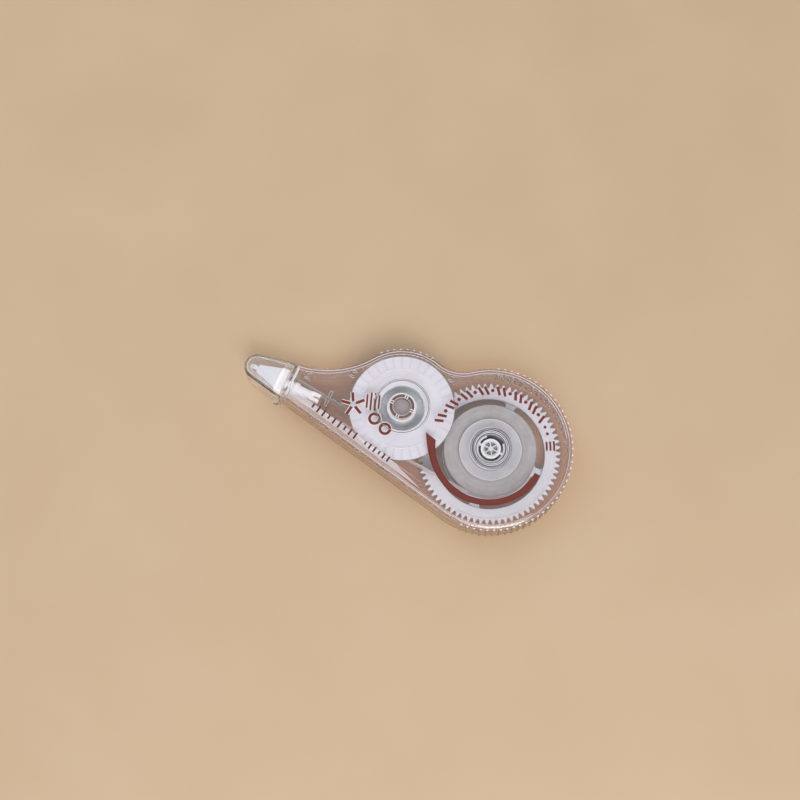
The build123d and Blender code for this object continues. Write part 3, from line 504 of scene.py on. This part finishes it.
HEIGHT = face_height()
INK_LIFT = 0.012 * MM
BORDER_LIFT = 0.004 * MM
WHITE_PRINT_DROP = 0.006 * MM
STRIP_STEPS = 3


def print_strip(mesh, left, right):
    """Adds a printed strip between two rows of points, laid on the front face."""
    rows = []
    for low, high in zip(left, right):
        row = []
        for step in range(STRIP_STEPS + 1):
            spot = low.lerp(high, step / STRIP_STEPS)
            row.append(mesh.verts.new((spot.x, spot.y, HEIGHT(spot.x, spot.y) + INK_LIFT)))
        rows.append(row)
    for before, after in zip(rows, rows[1:]):
        for step in range(STRIP_STEPS):
            mesh.faces.new((before[step], before[step + 1], after[step + 1], after[step]))


def around(centre, radius, angle):
    """Point on a circle, angle in degrees from +X."""
    return centre + radius * Vector((math.cos(math.radians(angle)), math.sin(math.radians(angle))))


def printed_arc(mesh, centre, middle, width, start, end):
    """Printed band round a centre."""
    count = max(2, int(abs(end - start) / 2))
    inner, outer = [], []
    for step in range(count + 1):
        angle = start + (end - start) * (step / count)
        inner.append(around(centre, middle - width / 2, angle))
        outer.append(around(centre, middle + width / 2, angle))
    print_strip(mesh, inner, outer)


def printed_bar(mesh, start, end, width):
    """Printed straight stroke."""
    along = (end - start).normalized()
    side = Vector((-along.y, along.x)) * width / 2
    count = max(2, int((end - start).length / (0.4 * MM)))
    spots = [start.lerp(end, step / count) for step in range(count + 1)]
    print_strip(mesh, [s - side for s in spots], [s + side for s in spots])


def printed_ring(mesh, centre, radius, width):
    """Printed closed ring."""
    printed_arc(mesh, centre, radius, width, 0, 360)


def printed_dot(mesh, centre, radius):
    """Printed round spot."""
    printed_arc(mesh, centre, radius * 0.52, radius * 0.96, 0, 360)


ARC_CENTRE = SUPPLY + Vector((0.8, 0.0)) * MM
ARC_RADIUS = 15.35
ARC_WIDTH = 1.7
ARC_PLAIN_END = 176
ARC_POINTED_END = 12


def arc_mark(mesh):
    """Long arc that widens outward to a point at one end."""
    count = 80
    inner, outer = [], []
    for step in range(count + 1):
        part = step / count
        flare = 1.4 * part**12
        angle = ARC_PLAIN_END + (ARC_POINTED_END - ARC_PLAIN_END) * part
        lag = 6.0 * part**12
        inner.append(around(ARC_CENTRE, (ARC_RADIUS - ARC_WIDTH / 2) * MM, angle + lag))
        outer.append(around(ARC_CENTRE, (ARC_RADIUS + ARC_WIDTH / 2 + flare) * MM, angle))
    print_strip(mesh, inner, outer)


def arc_borders(mesh):
    """Darker lines along both sides of the long arc."""
    for side in (-1, 1):
        middle = (ARC_RADIUS + side * (ARC_WIDTH / 2 - 0.1)) * MM
        printed_arc(mesh, ARC_CENTRE, middle, 0.18 * MM, ARC_PLAIN_END, ARC_POINTED_END + 14)


def dial_marks(mesh):
    """Band of plain slanted bars and dots round the roll, two bars to a dot."""
    for index in range(22):
        angle = 357 - index * 5.8
        middle = around(SUPPLY, 16.1 * MM, angle)
        out = (middle - SUPPLY).normalized()
        lean = (out + 0.42 * Vector((-out.y, out.x))) * 1.15 * MM
        if index % 3 == 2:
            printed_dot(mesh, middle, 0.5 * MM)
        else:
            printed_bar(mesh, middle - lean, middle + lean, 0.75 * MM)
    for angle in (227, 220):
        printed_dot(mesh, around(SUPPLY, 16.0 * MM, angle), 0.42 * MM)
    for radius in (15.3, 16.3, 17.3):
        printed_arc(mesh, SUPPLY, radius * MM, 0.55 * MM, 203, 212)


SPARK = Vector((39.3, 5.2)) * MM
STAMP = Vector((34.7, 2.2)) * MM
PAIR = Vector((30.4, 7.0)) * MM


def emblem(grow):
    """A spark of bars, a striped stamp and a pair of rings. grow widens every stroke."""

    def draw(mesh):
        for index in range(5):
            spot = around(SPARK, 0.8 * MM, 72 * index + 10)
            end = around(SPARK, 3.3 * MM, 72 * index + 10)
            printed_bar(mesh, spot, end, 0.85 * MM + grow)
        along = Vector((math.cos(math.radians(-70)), math.sin(math.radians(-70))))
        across = Vector((-along.y, along.x))
        for shift in (-1.65, -0.55, 0.55, 1.65):
            reach = 2.5 if abs(shift) < 1 else 1.9
            spot = STAMP + across * shift * MM
            printed_bar(mesh, spot - along * reach * MM, spot + along * reach * MM, 0.55 * MM + grow)
        for shift in (-1.9, 1.9):
            spot = PAIR + Vector((shift, -0.35 * shift)) * MM
            printed_ring(mesh, spot, 1.35 * MM, 0.8 * MM + grow)

    return draw


def edge_marks(mesh):
    """Row of short bars of two lengths along the straight edge, in two groups."""
    for start, count, pitch, size in ((49.0, 9, 1.75, 1.0), (31.6, 6, 1.5, 0.8)):
        for index in range(count):
            x = start - pitch * index
            middle = Vector((x, 10.25 + (49.2 - x) * 0.185))
            lean = Vector((0.18, 1.0)) * size * (1.0 if index % 3 else 0.62)
            printed_bar(mesh, (middle - lean) * MM, (middle + lean) * MM, 0.5 * MM)


new_piece("print_arc", arc_mark, INK, "case")
borders = new_piece("print_arc_borders", arc_borders, INK_SHADE, "case")
for vertex in borders.data.vertices:
    vertex.co.z += BORDER_LIFT
new_piece("print_dial_marks", dial_marks, INK, "case")
new_piece("print_emblem", emblem(0.0), INK, "case")
new_piece("print_edge_marks", edge_marks, INK, "case")
underlay = new_piece("print_emblem_underlay", emblem(0.32 * MM), INK_WHITE, "case")
for vertex in underlay.data.vertices:
    vertex.co.z -= WHITE_PRINT_DROP


def plug_grain(mesh):
    """The grained end of the plug in the take-up post, inside the front case."""
    rings = []
    for radius in (0.5, 1.1, 1.7, 2.1, 2.45):
        ring = []
        for step in range(48):
            spot = around(TAKEUP, radius * MM, 7.5 * step)
            height = PLUG_END - 0.05 * (radius > 2.2)
            ring.append(mesh.verts.new((spot.x, spot.y, height * MM)))
        rings.append(ring)
    mesh.faces.new(rings[0])
    for inner, outer in zip(rings, rings[1:]):
        for step in range(48):
            following = (step + 1) % 48
            mesh.faces.new((inner[step], inner[following], outer[following], outer[step]))


new_piece("plug_grain", plug_grain, PLUG_GRAIN, "case", smooth=True)


def edge_rings(*rings):
    """Thin lines where sharp moulded edges catch or hide the light, as
    (centre, radius, width, height, start, end) in millimetres and degrees."""

    def draw(mesh):
        for centre, radius, width, height, start, end in rings:
            count = max(4, int((end - start) / 4))
            inner, outer = [], []
            for step in range(count + 1):
                angle = start + (end - start) * step / count
                taper = min(1.0, 6.0 * min(step, count - step) / count + 0.15 + (end - start >= 360))
                low = around(centre, (radius - width * taper / 2) * MM, angle)
                high = around(centre, (radius + width * taper / 2) * MM, angle)
                inner.append(mesh.verts.new((low.x, low.y, height * MM)))
                outer.append(mesh.verts.new((high.x, high.y, height * MM)))
            for step in range(count):
                mesh.faces.new((inner[step], outer[step], outer[step + 1], inner[step + 1]))

    return draw


# Painted highlight rings and painted shade rings along the edges of the hub windows, post slots and
# sunk rings.
new_piece(
    "edge_glints",
    edge_rings(
        (SUPPLY, 4.40, 0.20, LINE_Z, 0, 360),
        (SUPPLY, 4.82, 0.14, LINE_Z, 60, 330),
        (SUPPLY, 5.80, 0.14, LINE_Z, 270, 500),
        (TAKEUP, 2.52, 0.10, LINE_Z, 0, 360),
        (TAKEUP, 3.49, 0.13, LINE_Z, 0, 360),
        (TAKEUP, 7.14, 0.10, LINE_Z, 60, 330),
        (TAKEUP, 7.88, 0.09, LINE_Z, 150, 420),
    ),
    PAINTED_GLINT,
    "case",
)
new_piece(
    "edge_shades",
    edge_rings(
        (SUPPLY, 4.62, 0.18, LINE_Z, 20, 300),
        (SUPPLY, 5.08, 0.20, LINE_Z, 0, 360),
        (SUPPLY, 5.64, 0.12, RING_FLOOR, 0, 360),
        (SUPPLY, 4.20, 0.24, SUNK_LINE, 0, 360),
        (TAKEUP, 2.64, 0.06, SUNK_LINE, 0, 360),
        (TAKEUP, 3.38, 0.06, SUNK_LINE, 0, 360),
        (TAKEUP, 7.27, 0.18, LINE_Z, 0, 360),
        (TAKEUP, 7.72, 0.13, LINE_Z, 150, 420),
    ),
    PAINTED_EDGE_SHADE,
    "case",
)


def bridge_glints(mesh):
    """Painted highlight lines along both sides of the four bridges over the slot above the post."""
    for index in range(4):
        out = around(Vector((0, 0)), 1.0, 90 * index)
        side = Vector((-out.y, out.x))
        for shift in (-0.32, 0.32):
            start = TAKEUP + (out * 2.5 + side * shift) * MM
            end = TAKEUP + (out * 3.5 + side * shift) * MM
            half = side * 0.13 * MM
            corners = (start - half, start + half, end + half, end - half)
            mesh.faces.new([mesh.verts.new((c.x, c.y, LINE_Z * MM)) for c in corners])


new_piece("bridge_glints", bridge_glints, PAINTED_GLINT, "case")

# Brown arcs on the post face: the card seen through the slots, darkened as painted shade.
new_piece(
    "slot_shades",
    edge_rings(
        *[(TAKEUP, 3.0, 0.9, POST_FACE, 90 * turn + 5, 90 * turn + 85) for turn in range(4)]
    ),
    SLOT_SHADE_BROWN,
    "case",
)


# ---- lines where the moulded borders of the CAD pieces catch or hide the light ---------------


def borders_at(node, height, facing):
    """Borders of a node's level faces at a height, as (place, outward) pairs at both ends."""
    source = NODES[node].data
    sides = {}
    for face in source.polygons:
        if abs(face.center.z - height * MM) > 0.01 * MM or face.normal.z * facing < 0.99:
            continue
        corners = [source.vertices[index].co for index in face.vertices]
        names = [(round(c.x / MM, 3), round(c.y / MM, 3)) for c in corners]
        for start, end in zip(names, names[1:] + names[:1]):
            sides[(start, end)] = facing
    open_sides = [side for side in sides if side[::-1] not in sides and side[0] != side[1]]
    outward = {}
    for start, end in open_sides:
        along = Vector(end) - Vector(start)
        out = Vector((along.y, -along.x)).normalized() * facing
        for name in (start, end):
            outward[name] = outward.get(name, Vector((0.0, 0.0))) + out
    return [
        ((Vector(start), outward[start].normalized()), (Vector(end), outward[end].normalized()))
        for start, end in open_sides
    ]


def border_lines(node, height, facing, inset, width, lift, wanted):
    """Strip that follows the borders of a node's level faces where wanted says so."""

    def draw(mesh):
        for (start, out), (end, far_out) in borders_at(node, height, facing):
            along = (end - start).normalized()
            if not wanted((start + end) / 2, Vector((along.y, -along.x)) * facing):
                continue
            strip = []
            for spot, way, depth in (
                (start, out, inset),
                (end, far_out, inset),
                (end, far_out, inset + width),
                (start, out, inset + width),
            ):
                place = spot - way * depth
                strip.append(mesh.verts.new((place.x * MM, place.y * MM, (height + lift) * MM)))
            mesh.faces.new(strip)

    return draw


def face_patches(node, height, lift):
    """Copy of a node's upward faces at a height, laid just above them."""
    source = NODES[node].data

    def draw(mesh):
        for face in source.polygons:
            if abs(face.center.z - height * MM) > 0.01 * MM or face.normal.z < 0.99:
                continue
            corners = [source.vertices[index].co for index in face.vertices]
            mesh.faces.new([mesh.verts.new((c.x, c.y, c.z + lift * MM)) for c in corners])

    return draw


def turned_line(name, body, centre, radius, width, height, look):
    """Thin ring on a piece that turns with its body."""
    new_piece(name, edge_rings((centre, radius, width, height, 0, 360)), look, body)


CORE_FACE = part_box("core_flange")[1].z / MM
turned_line("core_flange_shade", "core", SUPPLY, 8.70, 0.18, CORE_FACE + 0.01, SOFT_SHADE)
turned_line("core_flange_glint", "core", SUPPLY, 8.50, 0.14, CORE_FACE + 0.01, PAINTED_GLINT)
turned_line("roll_shade", "core", SUPPLY, 12.73, 0.12, ROLL_LINE, SOFT_SHADE)
turned_line("reel_shade", "takeup", TAKEUP, 14.60, 0.22, REEL_LINE, SOFT_SHADE)


# Places and directions that choose which borders get a line, in millimetres and direction cosines.
SUPPLY_HUB_REACH = 8.0
TAKEUP_HUB_REACH = 9.0
LONG_SIDE = 0.55
END_SIDE = 0.8
FRONT_WALL_X = 57.0
FRONT_LINE_X = 57.5
CROSS_PLACE = Vector((47.0, 5.2))
CROSS_REACH = 3.6
TOOTH_ROOT = 18.4


def clear_of_hubs(spot):
    """Away from the rings of both hubs, which have lines of their own."""
    return spot.length > SUPPLY_HUB_REACH and (spot - TAKEUP / MM).length > TAKEUP_HUB_REACH


def lit(spot, out):
    """Sides that face the long studio lights."""
    return clear_of_hubs(spot) and abs(out.y) > LONG_SIDE


def unlit(spot, out):
    """The other sides of the case, and its front end."""
    if clear_of_hubs(spot) and abs(out.y) <= LONG_SIDE:
        return True
    return spot.x > FRONT_LINE_X and abs(out.x) > END_SIDE


def straight_band(inset, width):
    """Band of painted light in the clear wall inside the long straight side, which narrows to a
    point over the gear.
    """
    far_x, near_x, taper, point = 13.0, 56.8, 9.0, 0.02
    count = 30

    def draw(mesh):
        borders = borders_at("front_case", FRONT_FACE, 1)
        (start, _), (end, _) = max(borders, key=lambda pair: (pair[1][0] - pair[0][0]).length)
        along = (end - start).normalized()
        out = Vector((along.y, -along.x))
        rows = []
        for step in range(count + 1):
            x = near_x + (far_x - near_x) * step / count
            spot = start + along * ((x - start.x) / along.x)
            reach = width * min(1.0, (x - far_x) / taper + point)
            pair = (spot - out * inset, spot - out * (inset + reach))
            height = (FRONT_FACE + LIFT) * MM
            rows.append([mesh.verts.new((v.x * MM, v.y * MM, height)) for v in pair])
        for before, after in zip(rows, rows[1:]):
            mesh.faces.new((before[0], before[1], after[1], after[0]))

    return draw


def outer_side(spot, out):
    return clear_of_hubs(spot)


def front_wall(spot, out):
    return spot.x > FRONT_WALL_X and out.x > END_SIDE


def near_cross(spot, out):
    return (spot - CROSS_PLACE).length < CROSS_REACH


def everywhere(spot, out):
    return True


def tooth_side(spot, out):
    return spot.length > TOOTH_ROOT


# (name, node, height, facing, inset, width, lift, wanted, look, body), lengths in millimetres.
RIM_LINES = (
    ("rim_glints", "front_case", FRONT_FACE, 1, -0.04, 0.16, LIFT, lit, PAINTED_GLINT, "case"),
    # Lilac painted sheen along the rim sides away from the lamps.
    ("rim_lilac_sheen", "front_case", FRONT_FACE, 1, -0.04, 0.14, LIFT, unlit, LILAC_RIM_SHEEN, "case"),
    ("rim_shades", "front_case", FRONT_FACE, 1, 0.16, 0.08, LIFT, outer_side, SOFT_SHADE, "case"),
)
WALL_LINES = (
    ("cross_glints", "back_case", CROSS_TOP, 1, -0.06, 0.32, LIFT, near_cross, PAINTED_GLINT, "case"),
    ("cross_shades", "back_case", CROSS_TOP, 1, -0.3, 0.2, LIFT, near_cross, PAINTED_EDGE_SHADE, "case"),
    ("wall_glints", "front_case", FRONT_UNDERSIDE, -1, -0.02, 0.14, -LIFT, lit, PAINTED_GLINT, "case"),
    # A wide painted highlight along the front end wall of the case.
    ("front_wall_glint", "front_case", FRONT_FACE, 1, -0.2, 0.8, LIFT, front_wall, PAINTED_GLINT, "case"),
)
MOVING_LINES = (
    ("tooth_shades", "drive_gear", GEAR_TOP, 1, -0.14, 0.12, -0.01, tooth_side, SOFT_SHADE, "drive"),
    ("cap_glints", "cap", CAP_FACE, 1, -0.04, 0.14, LIFT, everywhere, PAINTED_GLINT, "cap"),
    ("cap_shades", "cap", CAP_FACE, 1, 0.12, 0.08, LIFT, everywhere, SOFT_SHADE, "cap"),
)


def add_border_lines(rows):
    """Makes one piece of border lines from each row."""
    for name, node, height, facing, inset, width, lift, wanted, look, body in rows:
        new_piece(name, border_lines(node, height, facing, inset, width, lift, wanted), look, body)


add_border_lines(RIM_LINES)
# Painted light in the clear straight wall: a faint sheen band, a brighter band and a thin highlight
# line.
new_piece("wall_sheen", straight_band(0.26, 0.8), WALL_SHEEN, "case")
new_piece("wall_light", straight_band(1.1, 1.5), WALL_LIGHT, "case")
new_piece("wall_glint_line", straight_band(2.62, 0.12), PAINTED_GLINT, "case")
add_border_lines(WALL_LINES)
new_piece("rib_glints", face_patches("front_case", RIB_TOP, LIFT), PAINTED_GLINT, "case")
add_border_lines(MOVING_LINES)


# ---- floor, light and camera -----------------------------------------------------------------


def floor_look():
    paint = Paint("floor_look", Roughness=0.7)
    tone = paint.noise(40 * MM, 4.0)
    paint.colour(paint.ramp(tone, (0.3, (0.61, 0.44, 0.28)), (0.7, (0.64, 0.47, 0.305))))
    return paint.material


FLOOR_SIZE = 12.0
FLOOR_DROP = 0.02 * MM
LIGHT_TARGET = Vector((0.025, 0.0, 0.0))


def make_floor():
    size = FLOOR_SIZE
    data = bpy.data.meshes.new("floor")
    corners = [(-size, -size, 0), (size, -size, 0), (size, size, 0), (-size, size, 0)]
    data.from_pydata(corners, [], [(0, 1, 2, 3)])
    floor = bpy.data.objects.new("floor", data)
    floor.location.z = -FLOOR_DROP
    bpy.context.collection.objects.link(floor)
    data.materials.append(floor_look())


def aim(thing, target):
    thing.rotation_mode = "QUATERNION"
    thing.rotation_quaternion = (target - thing.location).to_track_quat("-Z", "Y")


def make_light(name, place, size, power, sheen_only=False):
    """White area light. A sheen-only one shows in reflections and lights no matt surface."""
    data = bpy.data.lights.new(name, "AREA")
    data.shape = "RECTANGLE"
    data.size, data.size_y = size
    data.energy = power
    light = bpy.data.objects.new(name, data)
    light.location = place
    light.visible_diffuse = not sheen_only
    aim(light, LIGHT_TARGET)
    bpy.context.collection.objects.link(light)


def make_world():
    world = bpy.data.worlds.new("studio")
    world.use_nodes = True
    tree = world.node_tree
    back = tree.nodes["Background"]
    back.inputs["Strength"].default_value = 0.5
    place = tree.nodes.new("ShaderNodeTexCoord")
    parts = tree.nodes.new("ShaderNodeSeparateXYZ")
    sky = tree.nodes.new("ShaderNodeValToRGB")
    sky.color_ramp.elements[0].position = 0.0
    sky.color_ramp.elements[0].color = (0.16, 0.15, 0.16, 1.0)
    sky.color_ramp.elements[1].position = 0.55
    sky.color_ramp.elements[1].color = (1.0, 1.0, 1.0, 1.0)
    tree.links.new(place.outputs["Generated"], parts.inputs[0])
    tree.links.new(parts.outputs["Z"], sky.inputs["Fac"])
    tree.links.new(sky.outputs["Color"], back.inputs["Color"])
    bpy.context.scene.world = world


CAMERA_TARGET = Vector((29.11, -3.76, 0.0)) * MM
CAMERA_DISTANCE = 627 * MM
CAMERA_AZIMUTH = 200.71
CAMERA_ELEVATION = 78.94
CAMERA_ROLL = 4.77
CAMERA_LENS = 100.6
CAMERA_SENSOR = 36.0


def make_camera():
    turn, lift = math.radians(CAMERA_AZIMUTH), math.radians(CAMERA_ELEVATION)
    back = Vector(
        (math.sin(turn) * math.cos(lift), -math.cos(turn) * math.cos(lift), math.sin(lift))
    )
    data = bpy.data.cameras.new("camera")
    data.lens = CAMERA_LENS
    data.sensor_width = CAMERA_SENSOR
    data.clip_start = 0.01
    camera = bpy.data.objects.new("camera", data)
    camera.location = CAMERA_TARGET + back * CAMERA_DISTANCE
    level = (-back).to_track_quat("-Z", "Y").to_matrix()
    roll = Matrix.Rotation(math.radians(CAMERA_ROLL), 3, "Z")
    camera.rotation_mode = "QUATERNION"
    camera.rotation_quaternion = (level @ roll).to_quaternion()
    bpy.context.collection.objects.link(camera)
    bpy.context.scene.camera = camera


make_floor()
make_world()
make_light("key", Vector((-0.25, 0.35, 0.6)), (0.4, 0.4), 3.0)
make_light("fill", Vector((0.45, -0.25, 0.5)), (0.3, 0.3), 0.9)
for name, place, length, power in (
    ("rim_edge", Vector((0.02, 0.66, 0.15)), 0.9, 2.0),
    ("rim_brow", Vector((0.02, -0.66, 0.15)), 0.9, 2.0),
    ("rim_rear", Vector((-0.64, 0.0, 0.15)), 0.7, 0.8),
    ("rim_tip", Vector((0.70, 0.05, 0.15)), 0.7, 0.8),
):
    make_light(name, place, (length, 0.12), power, sheen_only=True)
make_camera()

scene = bpy.context.scene
scene.view_settings.view_transform = "Standard"
scene.cycles.transparent_max_bounces = 32
scene.cycles.transmission_bounces = 24
scene.cycles.max_bounces = 28
scene.cycles.caustics_refractive = False
scene.cycles.caustics_reflective = False
